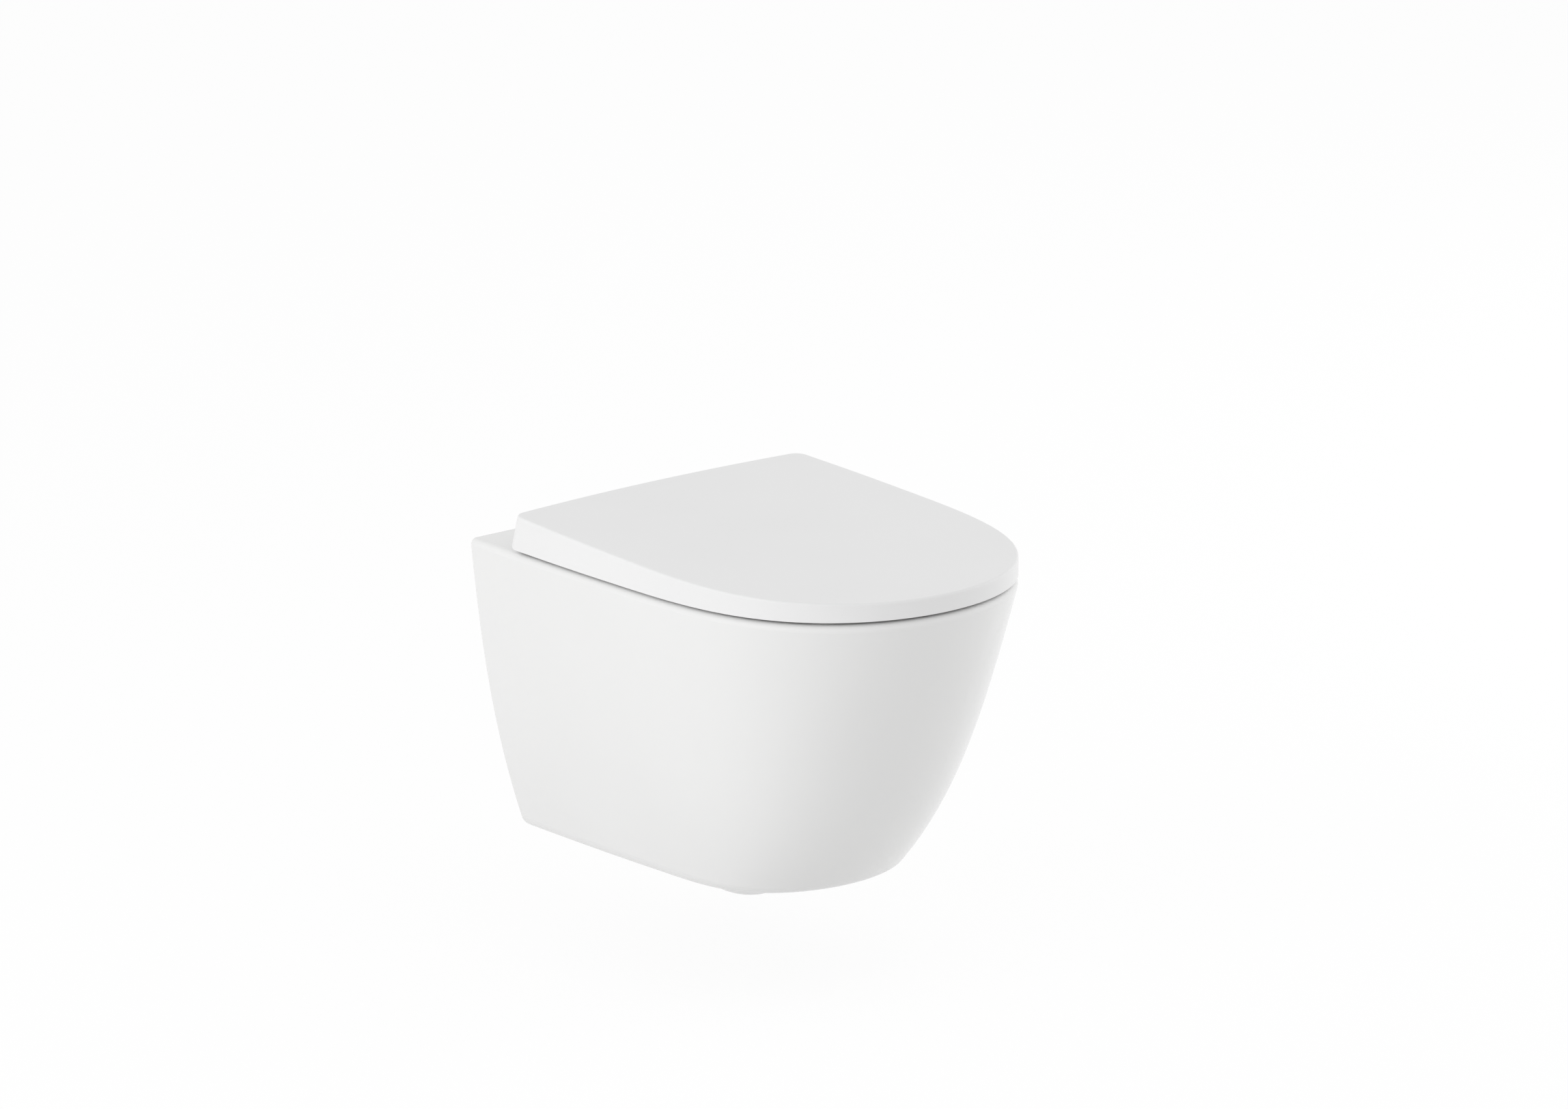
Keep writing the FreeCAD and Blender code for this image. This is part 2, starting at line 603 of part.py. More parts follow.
def lid_form(side_wall, top_wall, rear_wall, lower):
    """The lid's outer form, or its hollow where the walls are not zero."""
    base = outline(HALF_WIDTH - side_wall, LID_NOSE - side_wall, STRAIGHT_TOP, LID_TAPER,
                   RIM_Z + lower, LID_START)
    form = Part.Face(base).extrude(V(0, 0, LID_BLOCK))
    half_span = (HALF_WIDTH + LID_MARGIN) / 2
    places = [half_span * i for i in (-2, -1, 0, 1, 2)]
    front = Part.makeLoft([lid_rear_profile(x, rear_wall) for x in places], True)
    form = solid(form.common(front).common(lid_top_block(top_wall)))
    form = round_edges(form, LID_CORNER - side_wall, runs_upright)
    return solid(form.cut(Part.makeLoft([heel_profile(x, rear_wall) for x in places], True)))


def lid_hollow():
    return lid_form(LID_SIDE_WALL, LID_TOP_WALL, LID_REAR_WALL, -LID_HOLLOW_DROP)


def seat_top_at(y):
    return RIM_Z + SEAT_NOSE_TOP + SEAT_SLOPE * (y + LID_NOSE - SEAT_INSET)


ARM_INNER = HINGE_SPACING / 2 - ARM_WIDTH / 2
ARM_OUTER = HINGE_SPACING / 2 + ARM_WIDTH / 2
SEAT_END = ARM_INNER - KNUCKLE_GAP
LID_END = ARM_OUTER + KNUCKLE_GAP


def barrel_bore(near, far, has_damper):
    """What one barrel is bored out for: a damper from its open end, or a bush and an axle."""
    way = 1 if far > near else -1
    if has_damper:
        return [x_rod(DAMPER_RADIUS, near - way, near + way * (DAMPER_LENGTH + DAMPER_PLAY))]
    bush = AXLE_RADIUS + BUSH_WALL
    length, play = BUSH_TAIL
    tail = near + way * (BUSH_LENGTH + length)
    return [x_rod(bush, near - way, near + way * BUSH_LENGTH), x_rod(AXLE_RADIUS + play, near, tail)]


def make_lid():
    outer = lid_form(0, 0, 0, LID_GAP)

    def crease(e):
        at = edge_mid(e)
        above = RIM_Z + LID_NOSE_TOP + LID_SLOPE * (at.y + LID_NOSE)
        return at.z > above - CREASE_BAND

    outer = solid(round_edges(outer, LID_CREASE, crease))
    shell = outer.cut(lid_hollow())
    parts = []
    bores = []
    for side in (1, -1):
        clear = NOTCH_CLEARANCE
        near, far = sorted((side * (ARM_INNER - clear), side * (ARM_OUTER + clear)))
        shell = shell.cut(box(near, far, AXIS_Y - OVERCUT, 0, RIM_Z, AXIS_Z + NOTCH_TOP))
        end = side * (LID_END + BARREL_LENGTH)
        parts.append(x_rod(BARREL_RADIUS, side * LID_END, end))
        near, far = sorted((side * LID_END, end))
        front_y, rear_y = AXIS_Y - BARREL_WEB, AXIS_Y + BARREL_WEB
        web = box(near, far, front_y, rear_y, AXIS_Z, AXIS_Z + LID_BLOCK)
        parts.append(web.common(outer))
        bores += barrel_bore(side * LID_END, end, side > 0)
    return solid(shell.multiFuse(parts).cut(bores))


# ---- seat ring ----
def seat_plate():
    """The ring itself: flat below, sloping and rounded on top, with its hole."""
    inset = SEAT_INSET
    base = outline(HALF_WIDTH - inset, LID_NOSE - inset, STRAIGHT_TOP, LID_TAPER,
                   RIM_Z + SEAT_LIFT, -SEAT_REAR)
    plate = Part.Face(base).extrude(V(0, 0, SEAT_BLOCK))
    front, rear = -LID_NOSE - SEAT_MARGIN, -SEAT_REAR + SEAT_MARGIN
    floor = RIM_Z - SEAT_UNDERCUT
    under = [(front, floor), (rear, floor), (rear, seat_top_at(rear)), (front, seat_top_at(front))]
    half = HALF_WIDTH + SEAT_MARGIN
    plate = plate.common(profile_x(under, -half, half))
    half_x, half_y, splay = SEAT_HOLE_HALF_WIDTH, SEAT_HOLE_HALF_LENGTH, SEAT_HOLE_SPLAY
    low, high = RIM_Z + SEAT_LIFT - SEAT_UNDERCUT, RIM_Z + SEAT_BLOCK
    hole = Part.makeLoft([
        oval(SEAT_HOLE_Y, half_x - splay, half_y - splay, low),
        oval(SEAT_HOLE_Y, half_x + splay, half_y + splay, high),
    ], True)
    plate = solid(plate.cut(hole))

    def upper(e):
        at = edge_mid(e)
        return at.z > seat_top_at(at.y) - TOP_BAND

    return solid(round_edges(plate, SEAT_EDGE, upper))


def hinge_clearance(plate, side):
    """The ring without the room that one hinge bracket takes."""
    clear = NOTCH_CLEARANCE
    front_y = HINGE_BOLT_Y - FOOT_RADIUS - clear
    near, far = sorted((side * (ARM_INNER - KNUCKLE_GAP), side * (ARM_OUTER + FOOT_RADIUS)))
    plate = plate.cut(box(near, far, front_y, 0, RIM_Z, RIM_Z + SEAT_BLOCK))
    near, far = sorted((side * (HINGE_SPACING / 2 - FOOT_RADIUS - clear), side * SEAT_END))
    return plate.cut(box(near, far, front_y, 0, RIM_Z, RIM_Z + TONGUE_BOTTOM))


def make_seat_ring():
    plate = hinge_clearance(hinge_clearance(seat_plate(), 1), -1)
    ledge = -SEAT_REAR - TONGUE_OVERLAP
    bottom = RIM_Z + TONGUE_BOTTOM
    step = AXIS_Y - TONGUE_STEP
    shelf = AXIS_Z - TONGUE_SHELF
    top = (ledge, seat_top_at(ledge) - TONGUE_SINK)
    front = [(ledge, bottom), (step - TONGUE_RAMP, bottom), (step, shelf)]
    middle = front + [(-TONGUE_REAR, shelf), (-TONGUE_REAR, AXIS_Z + TONGUE_CREST), top]
    hinge_side = front + [(AXIS_Y - BARREL_RADIUS, AXIS_Z - TONGUE_SHELF / 2),
                          (AXIS_Y, AXIS_Z + BARREL_RADIUS), top]
    inner_end = SEAT_END - BARREL_LENGTH
    parts = [profile_x(middle, -SEAT_END, SEAT_END)]
    bores = []
    for side in (1, -1):
        parts.append(profile_x(hinge_side, side * inner_end, side * SEAT_END))
        parts.append(x_rod(BARREL_RADIUS, side * inner_end, side * SEAT_END))
        bores += barrel_bore(side * SEAT_END, side * inner_end, side < 0)
    return solid(plate.multiFuse(parts).cut(bores))


def ray_to(angle, half_x, half_y, centre_y):
    """Where a ray from the bowl's centre meets an oval about another centre on the axis."""
    c, s = math.cos(angle), math.sin(angle)
    shift = BOWL_CENTRE_Y - centre_y
    a = (c / half_x) ** 2 + (s / half_y) ** 2
    b = 2 * s * shift / half_y ** 2
    k = (shift / half_y) ** 2 - 1
    return (-b + math.sqrt(b * b - 4 * a * k)) / (2 * a)


def ray_to_outline(angle, inset):
    """Where the same ray meets the D outline, drawn in by inset."""
    half_width, nose = HALF_WIDTH - inset, LID_NOSE - inset
    low, high = 0.0, LID_NOSE
    for _ in range(RAY_STEPS):
        middle = (low + high) / 2
        x = middle * math.cos(angle)
        y = BOWL_CENTRE_Y + middle * math.sin(angle)
        u = max(0.0, (-y - STRAIGHT_TOP) / (nose - STRAIGHT_TOP))
        inside = u < 1 and abs(x) < half_width * math.sqrt(1 - u ** NOSE_POWER)
        low, high = (middle, high) if inside else (low, middle)
    return low


def buffer_places():
    """Midway between the openings and the outline, on both sides."""
    places = []
    for degrees in BUFFER_ANGLES:
        angle = math.radians(degrees)
        bowl = ray_to(angle, BOWL_HALF_WIDTH, BOWL_HALF_LENGTH, BOWL_CENTRE_Y)
        reach = (bowl + ray_to_outline(angle, SEAT_INSET)) / 2
        x, y = reach * math.cos(angle), BOWL_CENTRE_Y + reach * math.sin(angle)
        places += [(x, y), (-x, y)]
    return places


def make_seat_buffers():
    z = RIM_Z
    pads = []
    for x, y in buffer_places():
        pad = rod(BUFFER_RADIUS, V(x, y, z), V(x, y, z + SEAT_LIFT))
        lower = [e for e in pad.Edges if e.BoundBox.ZMax < z + NEAR]
        pads.append(pad.makeChamfer(BUFFER_CHAMFER, lower))
    return pads


def make_lid_buffers():
    pads = []
    hollow = lid_hollow()
    for x, y in buffer_places():
        low = seat_top_at(y) + BUFFER_GAP
        column = rod(LID_BUFFER_RADIUS, V(x, y, RIM_Z), V(x, y, low + BUFFER_COLUMN))
        front, rear = y - BUFFER_MARGIN, y + BUFFER_MARGIN
        top = low + 2 * BUFFER_COLUMN
        over = [(front, seat_top_at(front) + BUFFER_GAP), (rear, seat_top_at(rear) + BUFFER_GAP),
                (rear, top), (front, top)]
        column = column.common(profile_x(over, x - BUFFER_MARGIN, x + BUFFER_MARGIN))
        pads.append(solid(column.common(hollow)))
    return pads


# ---- hinges ----
FOOT_LOW = RIM_Z + GASKET_THICKNESS
FOOT_TOP = FOOT_LOW + FOOT_THICKNESS


def make_hinge_bracket(side):
    """Cast foot bolted on the deck, with an arm back to the knuckle on the hinge axis."""
    x = side * HINGE_SPACING / 2
    near, far = side * ARM_INNER, side * ARM_OUTER
    foot = rod(FOOT_RADIUS, V(x, HINGE_BOLT_Y, FOOT_LOW), V(x, HINGE_BOLT_Y, FOOT_TOP))
    foot = round_edges(foot, FOOT_EDGE, lambda e: e.BoundBox.ZMin > FOOT_TOP - NEAR)
    root = HINGE_BOLT_Y + BOLT_HEAD[0] + CAP_WALL + ARM_ROOT_GAP
    heel = HINGE_BOLT_Y + FOOT_RADIUS - ARM_HEEL
    r = KNUCKLE_RADIUS
    neck_top, neck_under = ARM_NECK
    leaves = math.radians(ARM_LEAVES)
    inside = (FOOT_LOW + FOOT_TOP) / 2
    arm = [(root, inside), (root, FOOT_TOP + ARM_ROOT_RISE), (AXIS_Y - neck_top, AXIS_Z + ARM_SHOULDER),
           (AXIS_Y, AXIS_Z + r), (AXIS_Y - r * math.cos(leaves), AXIS_Z - r * math.sin(leaves)),
           (AXIS_Y - neck_under, AXIS_Z - r), (heel, FOOT_TOP), (heel, inside)]
    body = foot.multiFuse([profile_x(arm, near, far), x_rod(r, near, far)]).removeSplitter()
    body = body.cut(x_rod(AXLE_RADIUS, near - side, far + side))
    return solid(body.cut(rod(SEAT_BOLT, V(x, HINGE_BOLT_Y, RIM_Z), V(x, HINGE_BOLT_Y, AXIS_Z))))


def make_gasket(side):
    x = side * HINGE_SPACING / 2
    disc = rod(FOOT_RADIUS, V(x, HINGE_BOLT_Y, RIM_Z), V(x, HINGE_BOLT_Y, FOOT_LOW))
    return disc.cut(rod(SEAT_BOLT, V(x, HINGE_BOLT_Y, RIM_Z), V(x, HINGE_BOLT_Y, FOOT_LOW)))


def make_seat_bolt(side):
    radius, height = BOLT_HEAD
    x = side * HINGE_SPACING / 2
    low = RIM_Z - SLEEVE_LENGTH - SLEEVE_NUT - BOLT_TIP
    shank = rod(SEAT_BOLT, V(x, HINGE_BOLT_Y, low), V(x, HINGE_BOLT_Y, FOOT_TOP))
    head = rod(radius, V(x, HINGE_BOLT_Y, FOOT_TOP), V(x, HINGE_BOLT_Y, FOOT_TOP + height))
    return shank.fuse(head).removeSplitter()


def make_bolt_cap(side):
    """Push-on cover over the bolt's head."""
    radius, height = BOLT_HEAD
    x = side * HINGE_SPACING / 2
    top = FOOT_TOP + height + CAP_WALL
    outer = rod(radius + CAP_WALL, V(x, HINGE_BOLT_Y, FOOT_TOP), V(x, HINGE_BOLT_Y, top))
    outer = round_edges(outer, CAP_EDGE, lambda e: e.BoundBox.ZMin > top - NEAR)
    inner = rod(radius, V(x, HINGE_BOLT_Y, FOOT_TOP), V(x, HINGE_BOLT_Y, FOOT_TOP + height))
    return outer.cut(inner)


def make_sleeve(side):
    """Rubber sleeve that swells in the deck's hole as the bolt draws its nut up."""
    x = side * HINGE_SPACING / 2
    low, high = V(x, HINGE_BOLT_Y, RIM_Z - SLEEVE_LENGTH), V(x, HINGE_BOLT_Y, RIM_Z)
    return rod(SEAT_BOLT + SLEEVE_WALL, low, high).cut(rod(SEAT_BOLT, low, high))


def make_sleeve_nut(side):
    x = side * HINGE_SPACING / 2
    top = RIM_Z - SLEEVE_LENGTH
    low = top - SLEEVE_NUT
    wide = SEAT_BOLT + SLEEVE_WALL
    start = V(x, HINGE_BOLT_Y, top)
    cone = Part.makeCone(wide, wide - NUT_TAPER, SLEEVE_NUT, start, V(0, 0, -1))
    return cone.cut(rod(SEAT_BOLT, V(x, HINGE_BOLT_Y, low), V(x, HINGE_BOLT_Y, top)))


def make_axle(side):
    """Damper shaft: fixed in the knuckle, in a bush at one end, the rotor at the other."""
    seat_side = SEAT_END if side > 0 else LID_END
    damper_side = LID_END if side > 0 else SEAT_END
    bush_way = -1 if side > 0 else 1
    damper_way = -bush_way
    bush_end = side * (seat_side + bush_way * BUSH_LENGTH)
    rotor_start = damper_side + damper_way * (DAMPER_CAP + ROTOR_GAP)
    rotor_end = rotor_start + damper_way * ROTOR_LENGTH
    shaft = x_rod(AXLE_RADIUS, bush_end, side * rotor_end)
    rotor = x_rod(ROTOR_RADIUS, side * rotor_start, side * rotor_end)
    return shaft.fuse(rotor).removeSplitter()


def make_bush(near, way):
    far = near + way * BUSH_LENGTH
    outer = x_rod(AXLE_RADIUS + BUSH_WALL, near, far)
    return outer.cut(x_rod(AXLE_RADIUS + RUNNING_GAP, near, far))


def make_damper(near, way):
    """Housing and cap of one rotary damper, opening at near and running in direction way."""
    far = near + way * DAMPER_LENGTH
    housing = x_rod(DAMPER_RADIUS, near, far)
    housing = housing.cut(x_rod(DAMPER_RADIUS - DAMPER_WALL, near, far - way * DAMPER_CAP))
    lip = near + way * DAMPER_CAP
    cap = x_rod(DAMPER_RADIUS - DAMPER_WALL, near, lip)
    cap = cap.cut(x_rod(AXLE_RADIUS + RUNNING_GAP, near, lip))
    return housing, cap


def main():
    os.makedirs("parts", exist_ok=True)
    save("pan", make_pan())
    save("inlet_seal", make_inlet_seal())
    save("lid", make_lid())
    save("lid_buffers", *make_lid_buffers())
    save("seat_ring", make_seat_ring())
    save("seat_buffers", *make_seat_buffers())
    for side, word in ((1, "right"), (-1, "left")):
        save("hinge_bracket_" + word, make_hinge_bracket(side))
        save("hinge_axle_" + word, make_axle(side))
        save("wall_bracket_" + word, make_wall_bracket(side))
    housing, cap = make_damper(LID_END, 1)
    save("lid_damper_housing", housing)
    save("lid_damper_cap", cap)
    housing, cap = make_damper(-SEAT_END, 1)
    save("seat_damper_housing", housing)
    save("seat_damper_cap", cap)
    save("seat_bush", make_bush(SEAT_END, -1))
    save("lid_bush", make_bush(-LID_END, -1))
    pairs = {
        "hinge_gaskets": make_gasket,
        "seat_bolts": make_seat_bolt,
        "bolt_caps": make_bolt_cap,
        "expansion_sleeves": make_sleeve,
        "sleeve_nuts": make_sleeve_nut,
        "wall_washers": make_wall_washer,
        "wall_nuts": make_wall_nut,
        "clamp_inserts": make_clamp_insert,
        "clamp_screws": make_clamp_screw,
    }
    for name, make in pairs.items():
        save(name, make(-1), make(1))


main()
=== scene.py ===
import json
import math

import bpy
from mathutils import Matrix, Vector

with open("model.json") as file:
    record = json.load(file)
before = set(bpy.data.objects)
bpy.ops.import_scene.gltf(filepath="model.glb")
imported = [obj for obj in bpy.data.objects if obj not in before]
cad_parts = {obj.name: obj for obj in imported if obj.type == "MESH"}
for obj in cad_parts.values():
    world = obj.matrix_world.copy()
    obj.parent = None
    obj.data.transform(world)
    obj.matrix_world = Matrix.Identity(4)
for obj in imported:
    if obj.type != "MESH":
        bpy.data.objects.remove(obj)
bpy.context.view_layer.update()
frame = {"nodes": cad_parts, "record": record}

# Metres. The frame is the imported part's own: +Z up, +Y into the wall, the nose towards -Y.

# ---- camera, fitted to the photograph's edges ----
CAMERA_PLACE = (-11.9135, -14.4186, 5.196)
CAMERA_AZIMUTH = -40.063
CAMERA_ELEVATION = 15.432
CAMERA_LENS = 470.4
SENSOR_WIDTH = 36.0
CAMERA_FAR = 100.0

# ---- stage and light ----
FLOOR_Z = -0.320            # 400 mm under the pan's rim
FLOOR_HALF = 40.0
FLOOR_GREY = 0.84           # what the floor's bounced light is made with
FLOOR_WHITE = 0.9           # share of plain white in what the floor shows
WORLD_STRENGTH = 0.77       # the even light from all round
SEEN_STRENGTH = 1.0         # the background as it is seen
WHITE = (1.0, 1.0, 1.0, 1.0)
LAMP_AIM = (0.0, -0.25, -0.05)
LAMP_SIZE = 3.0             # across
LEFT_PLACE, LEFT_WATTS = (-3.2, -0.3, 0.9), 40.0
RIGHT_PLACE, RIGHT_WATTS = (2.9, -0.7, 0.3), 39.0

# ---- finishes ----
# A noise is (features per metre, detail). A tone is (darkest colour, lightest colour).
# A gloss is (least roughness, greatest roughness). A relief is (height, strength).
NOISE_BAND = (0.3, 0.7)     # the part of a noise that is spread over a tone or a gloss
EVEN = (1.0, 1.0, 1.0)      # a noise that is stretched along no axis
DRAWN = (1.0, 0.2, 1.0)     # and one drawn out towards the wall

CONTACT_DEPTH = 0.0005      # how far in front of the wall the bare biscuit ends
CHINA_IOR = 1.5
GLAZE_NOISE, GLAZE_TONE = (6.0, 1.0), ((0.795, 0.795, 0.791), (0.807, 0.807, 0.803))
GLAZE_GLOSS_NOISE, GLAZE_GLOSS = (10.0, 1.0), (0.20, 0.23)
GLAZE_WAVE_NOISE, GLAZE_WAVE = (12.0, 0.0), (0.001, 0.1)
BISCUIT_NOISE, BISCUIT_TONE = (400.0, 4.0), ((0.66, 0.65, 0.62), (0.74, 0.73, 0.70))
BISCUIT_GLOSS_NOISE, BISCUIT_GLOSS = (500.0, 3.0), (0.75, 0.9)

DUROPLAST_NOISE, DUROPLAST_TONE = (8.0, 1.0), ((0.80, 0.80, 0.80), (0.81, 0.81, 0.81))
DUROPLAST_GLOSS_NOISE, DUROPLAST_GLOSS = (10.0, 1.0), (0.30, 0.33)
DUROPLAST_WAVE_NOISE, DUROPLAST_WAVE = (9.0, 0.0), (0.001, 0.05)

RUBBER_NOISE, RUBBER_GLOSS_NOISE, RUBBER_GRAIN_NOISE = (180.0, 5.0), (240.0, 4.0), (1600.0, 3.0)
RUBBER_GLOSS, RUBBER_GRAIN = (0.6, 0.8), (0.0002, 0.3)
NYLON_NOISE, NYLON_GLOSS_NOISE, NYLON_GRAIN_NOISE = (120.0, 4.0), (300.0, 4.0), (1200.0, 3.0)
NYLON_GLOSS, NYLON_GRAIN = (0.38, 0.5), (0.0001, 0.2)
METAL_NOISE, METAL_LINE_NOISE, METAL_LINE_ROUGHNESS = (90.0, 4.0), (700.0, 5.0), 0.6
METAL_LINES = (0.00005, 0.15)
POLISHED, BRUSHED = (0.10, 0.18), (0.28, 0.42)

WHITE_SOFT = ((0.70, 0.70, 0.69), (0.76, 0.76, 0.75))
BLACK_RUBBER = ((0.018, 0.018, 0.018), (0.035, 0.035, 0.035))
GREY_NYLON = ((0.20, 0.20, 0.205), (0.25, 0.25, 0.255))
BRACKET_GREY = ((0.10, 0.10, 0.105), (0.14, 0.14, 0.145))
HINGE_METAL = ((0.62, 0.62, 0.63), (0.68, 0.68, 0.69))
ZINC = ((0.52, 0.53, 0.55), (0.64, 0.65, 0.66))


# ---- shader nodes ----


def new_material(name):
    """A new material, its node tree and its Principled shader."""
    material = bpy.data.materials.new(name)
    material.use_nodes = True
    tree = material.node_tree
    return material, tree, tree.nodes["Principled BSDF"]


def noise(tree, grain, stretch=EVEN, roughness=0.5):
    """Noise over the object's own coordinates."""
    place = tree.nodes.new("ShaderNodeTexCoord")
    mapping = tree.nodes.new("ShaderNodeMapping")
    mapping.inputs["Scale"].default_value = stretch
    texture = tree.nodes.new("ShaderNodeTexNoise")
    texture.inputs["Scale"].default_value, texture.inputs["Detail"].default_value = grain
    texture.inputs["Roughness"].default_value = roughness
    tree.links.new(place.outputs["Object"], mapping.inputs["Vector"])
    tree.links.new(mapping.outputs["Vector"], texture.inputs["Vector"])
    return texture.outputs["Fac"]


def spread_colour(tree, value, tone):
    """value spread over the two colours of a tone."""
    node = tree.nodes.new("ShaderNodeValToRGB")
    for element, position, colour in zip(node.color_ramp.elements, NOISE_BAND, tone):
        element.position = position
        element.color = (*colour, 1.0)
    tree.links.new(value, node.inputs["Fac"])
    return node.outputs["Color"]


def spread_number(tree, value, limits):
    """value spread over the two numbers of limits."""
    node = tree.nodes.new("ShaderNodeMapRange")
    for name, number in zip(("From Min", "From Max", "To Min", "To Max"), NOISE_BAND + limits):
        node.inputs[name].default_value = number
    tree.links.new(value, node.inputs["Value"])
    return node.outputs["Result"]


def relief(tree, value, size):
    """A bump of that height and strength."""
    node = tree.nodes.new("ShaderNodeBump")
    node.inputs["Distance"].default_value, node.inputs["Strength"].default_value = size
    tree.links.new(value, node.inputs["Height"])
    return node.outputs["Normal"]


def calculate(tree, operation, value, other):
    """operation on a socket and either a second socket or a number."""
    node = tree.nodes.new("ShaderNodeMath")
    node.operation = operation
    tree.links.new(value, node.inputs[0])
    if isinstance(other, float):
        node.inputs[1].default_value = other
    else:
        tree.links.new(other, node.inputs[1])
    return node.outputs["Value"]


def blend(tree, kind, factor, first, second):
    """first where factor is 0 and second where it is 1; kind is RGBA or FLOAT."""
    node = tree.nodes.new("ShaderNodeMix")
    node.data_type = kind
    sockets = [socket for socket in node.inputs if socket.enabled]
    for source, target in zip((factor, first, second), sockets):
        tree.links.new(source, target)
    return next(socket for socket in node.outputs if socket.enabled)


def wall_contact(tree):
    """1 on the faces that lie on the wall, and 0 elsewhere."""
    place = tree.nodes.new("ShaderNodeTexCoord")
    axes = tree.nodes.new("ShaderNodeSeparateXYZ")
    tree.links.new(place.outputs["Object"], axes.inputs["Vector"])
    return calculate(tree, "GREATER_THAN", axes.outputs["Y"], -CONTACT_DEPTH)


# ---- materials ----


def china():
    """White glazed ceramic, faintly uneven, with bare biscuit where it lies on the wall."""
    material, tree, shader = new_material("china_glaze")
    bare = wall_contact(tree)
    glaze = spread_colour(tree, noise(tree, GLAZE_NOISE), GLAZE_TONE)
    biscuit = spread_colour(tree, noise(tree, BISCUIT_NOISE), BISCUIT_TONE)
    tree.links.new(blend(tree, "RGBA", bare, glaze, biscuit), shader.inputs["Base Color"])
    gloss = spread_number(tree, noise(tree, GLAZE_GLOSS_NOISE), GLAZE_GLOSS)
    matt = spread_number(tree, noise(tree, BISCUIT_GLOSS_NOISE), BISCUIT_GLOSS)
    tree.links.new(blend(tree, "FLOAT", bare, gloss, matt), shader.inputs["Roughness"])
    wave = relief(tree, noise(tree, GLAZE_WAVE_NOISE), GLAZE_WAVE)
    tree.links.new(wave, shader.inputs["Normal"])
    shader.inputs["IOR"].default_value = CHINA_IOR
    return material


def moulded(name, tone, noises, gloss, grain):
    """A moulded material; noises are those of its tone, its gloss and its relief."""
    material, tree, shader = new_material(name)
    sources = [noise(tree, source) for source in noises]
    tree.links.new(spread_colour(tree, sources[0], tone), shader.inputs["Base Color"])
    tree.links.new(spread_number(tree, sources[1], gloss), shader.inputs["Roughness"])
    tree.links.new(relief(tree, sources[2], grain), shader.inputs["Normal"])
    return material


def duroplast():
    """White moulded thermoset: even and satin."""
    noises = (DUROPLAST_NOISE, DUROPLAST_GLOSS_NOISE, DUROPLAST_WAVE_NOISE)
    return moulded("duroplast", DUROPLAST_TONE, noises, DUROPLAST_GLOSS, DUROPLAST_WAVE)


def rubber(name, tone):
    """Matt moulded rubber with a fine grain."""
    noises = (RUBBER_NOISE, RUBBER_GLOSS_NOISE, RUBBER_GRAIN_NOISE)
    return moulded(name, tone, noises, RUBBER_GLOSS, RUBBER_GRAIN)


def nylon(name, tone):
    """Moulded nylon, half matt."""
    noises = (NYLON_NOISE, NYLON_GLOSS_NOISE, NYLON_GRAIN_NOISE)
    return moulded(name, tone, noises, NYLON_GLOSS, NYLON_GRAIN)


def metal(name, tone, gloss, stretch):
    """Metal with fine lines."""
    material, tree, shader = new_material(name)
    lines = noise(tree, METAL_LINE_NOISE, stretch, METAL_LINE_ROUGHNESS)
    tree.links.new(spread_colour(tree, noise(tree, METAL_NOISE), tone), shader.inputs["Base Color"])
    tree.links.new(spread_number(tree, lines, gloss), shader.inputs["Roughness"])
    tree.links.new(relief(tree, lines, METAL_LINES), shader.inputs["Normal"])
    shader.inputs["Metallic"].default_value = 1.0
    return material


FINISH = {
    "china": china(),
    "duroplast": duroplast(),
    "white_rubber": rubber("white_rubber", WHITE_SOFT),
    "black_rubber": rubber("black_rubber", BLACK_RUBBER),
    "grey_nylon": nylon("grey_nylon", GREY_NYLON),
    "white_nylon": nylon("white_nylon", WHITE_SOFT),
    "hinge_metal": metal("hinge_metal", HINGE_METAL, POLISHED, EVEN),
    "zinc_steel": metal("zinc_steel", ZINC, BRUSHED, DRAWN),
    "bracket_plastic": nylon("bracket_plastic", BRACKET_GREY),
}

for part in frame["record"]["subparts"]:
    piece = frame["nodes"][part["node"]]
    piece.data.materials.clear()
    piece.data.materials.append(FINISH[part["material_slot"]])


# ---- stage, light and camera ----


def seen_directly(tree):
    """1 for a ray from the camera, a gloss or a clear surface, and 0 for light that bounces."""
    path = tree.nodes.new("ShaderNodeLightPath")
    total = path.outputs["Is Camera Ray"]
    for name in ("Is Glossy Ray", "Is Transmission Ray"):
        total = calculate(tree, "MAXIMUM", total, path.outputs[name])
    return total


def mix_shaders(tree, factor, first, second):
    """A mix of two shaders by a socket or a number."""
    mix = tree.nodes.new("ShaderNodeMixShader")
    if isinstance(factor, float):
        mix.inputs["Fac"].default_value = factor
    else:
        tree.links.new(factor, mix.inputs["Fac"])
    tree.links.new(first, mix.inputs[1])
    tree.links.new(second, mix.inputs[2])
    return mix.outputs["Shader"]


def plain_shader(tree, kind, output, colour=WHITE):
    """The output of a new shader node of one colour."""
    node = tree.nodes.new(kind)
    node.inputs["Color"].default_value = colour
    return node.outputs[output]


def add_to_scene(name, data):
    thing = bpy.data.objects.new(name, data)
    bpy.context.scene.collection.objects.link(thing)
    return thing


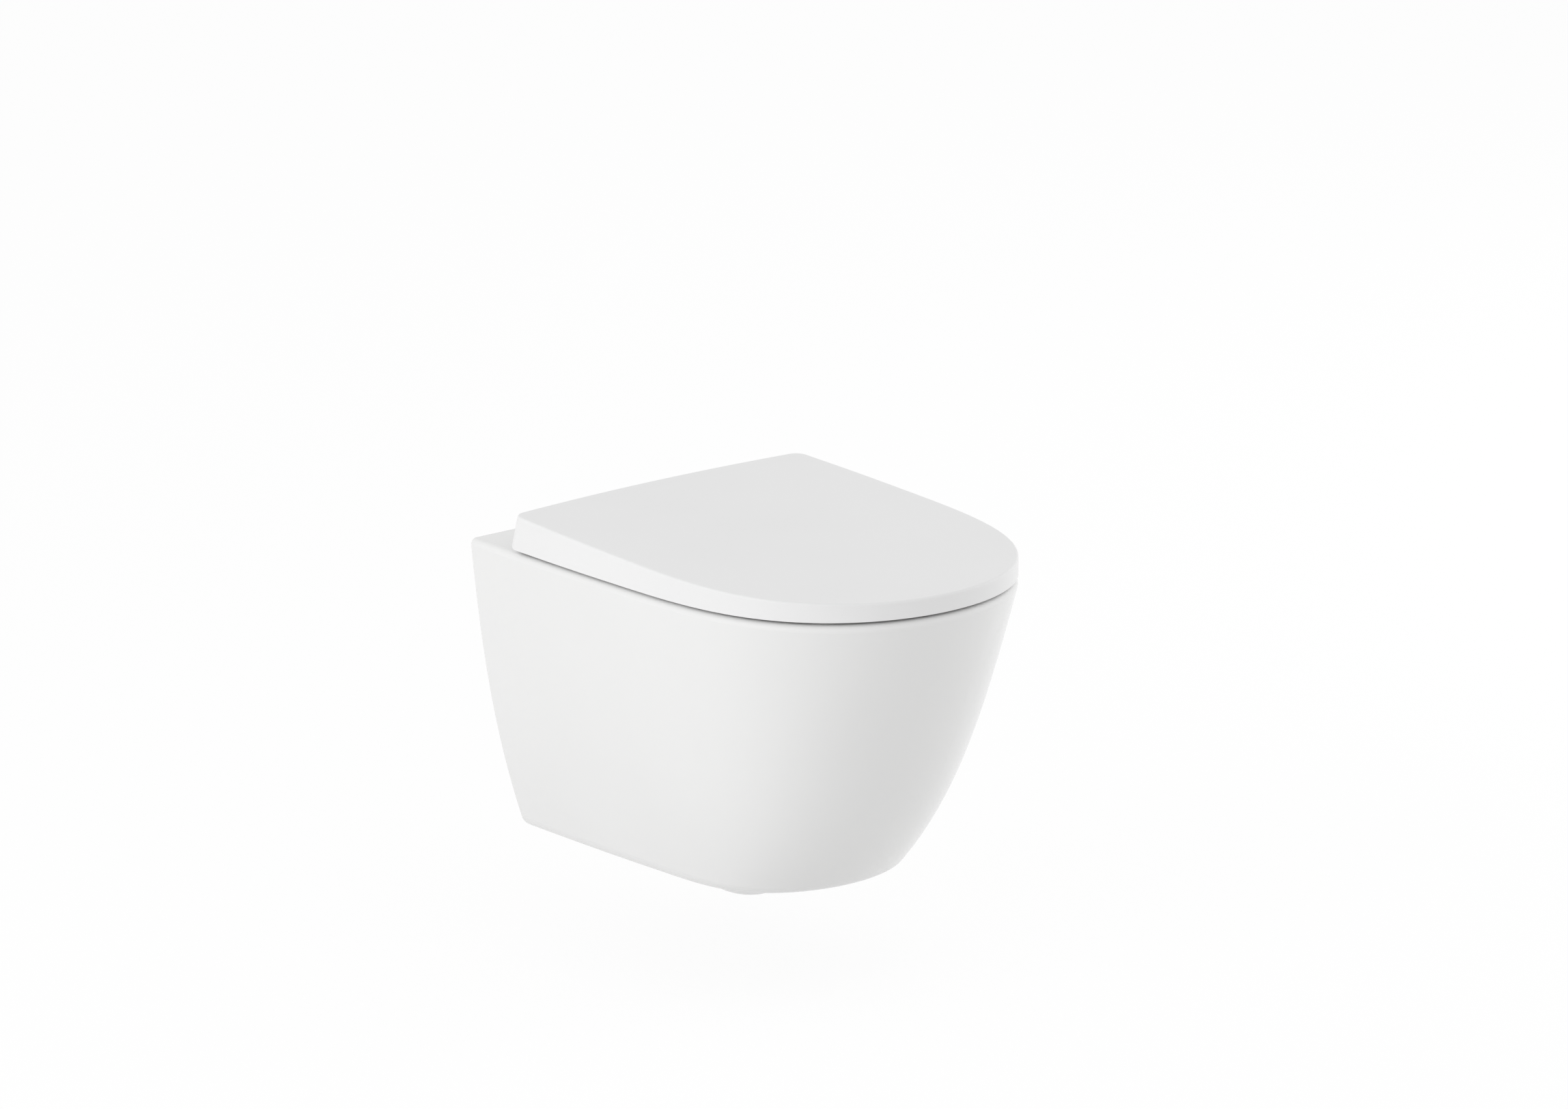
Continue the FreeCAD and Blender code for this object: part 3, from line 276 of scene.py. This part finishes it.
def add_floor():
    """A pale floor that looks white, with the object's shadow left faintly on it."""
    half = FLOOR_HALF
    mesh = bpy.data.meshes.new("floor")
    corners = [(-half, -half, 0), (half, -half, 0), (half, half, 0), (-half, half, 0)]
    mesh.from_pydata(corners, [], [(0, 1, 2, 3)])
    floor = add_to_scene("floor", mesh)
    floor.location.z = FLOOR_Z
    material, tree, _ = new_material("floor")
    tree.nodes.clear()
    grey = (FLOOR_GREY, FLOOR_GREY, FLOOR_GREY, 1.0)
    pale = plain_shader(tree, "ShaderNodeBsdfDiffuse", "BSDF", grey)
    lit = plain_shader(tree, "ShaderNodeBsdfDiffuse", "BSDF")
    white = plain_shader(tree, "ShaderNodeEmission", "Emission")
    seen = mix_shaders(tree, FLOOR_WHITE, lit, white)
    surface = mix_shaders(tree, seen_directly(tree), pale, seen)
    output = tree.nodes.new("ShaderNodeOutputMaterial")
    tree.links.new(surface, output.inputs["Surface"])
    mesh.materials.append(material)


def add_lamp(name, place, watts):
    """A round soft lamp that shows in no gloss, turned to the middle of the pan."""
    light = bpy.data.lights.new(name, "AREA")
    light.shape = "DISK"
    light.size = LAMP_SIZE
    light.energy = watts
    lamp = add_to_scene(name, light)
    lamp.location = place
    lamp.visible_glossy = False
    lamp.rotation_euler = (Vector(LAMP_AIM) - Vector(place)).to_track_quat("-Z", "Y").to_euler()


def add_world():
    """Even soft light from all round, behind which the background is white."""
    world = bpy.data.worlds.new("world")
    world.use_nodes = True
    tree = world.node_tree
    tree.nodes.clear()
    sources = []
    for strength in (WORLD_STRENGTH, SEEN_STRENGTH):
        source = tree.nodes.new("ShaderNodeBackground")
        source.inputs["Color"].default_value = WHITE
        source.inputs["Strength"].default_value = strength
        sources.append(source.outputs["Background"])
    output = tree.nodes.new("ShaderNodeOutputWorld")
    tree.links.new(mix_shaders(tree, seen_directly(tree), *sources), output.inputs["Surface"])
    bpy.context.scene.world = world


def add_camera():
    azimuth = math.radians(CAMERA_AZIMUTH)
    elevation = math.radians(CAMERA_ELEVATION)
    back = Vector((
        math.sin(azimuth) * math.cos(elevation),
        -math.cos(azimuth) * math.cos(elevation),
        math.sin(elevation),
    ))
    data = bpy.data.cameras.new("camera")
    data.lens = CAMERA_LENS
    data.sensor_width = SENSOR_WIDTH
    data.clip_end = CAMERA_FAR
    camera = add_to_scene("camera", data)
    camera.location = CAMERA_PLACE
    camera.rotation_mode = "QUATERNION"
    camera.rotation_quaternion = (-back).to_track_quat("-Z", "Y")
    bpy.context.scene.camera = camera


add_floor()
add_world()
add_lamp("left", LEFT_PLACE, LEFT_WATTS)
add_lamp("right", RIGHT_PLACE, RIGHT_WATTS)
add_camera()
bpy.context.scene.view_settings.view_transform = "Standard"
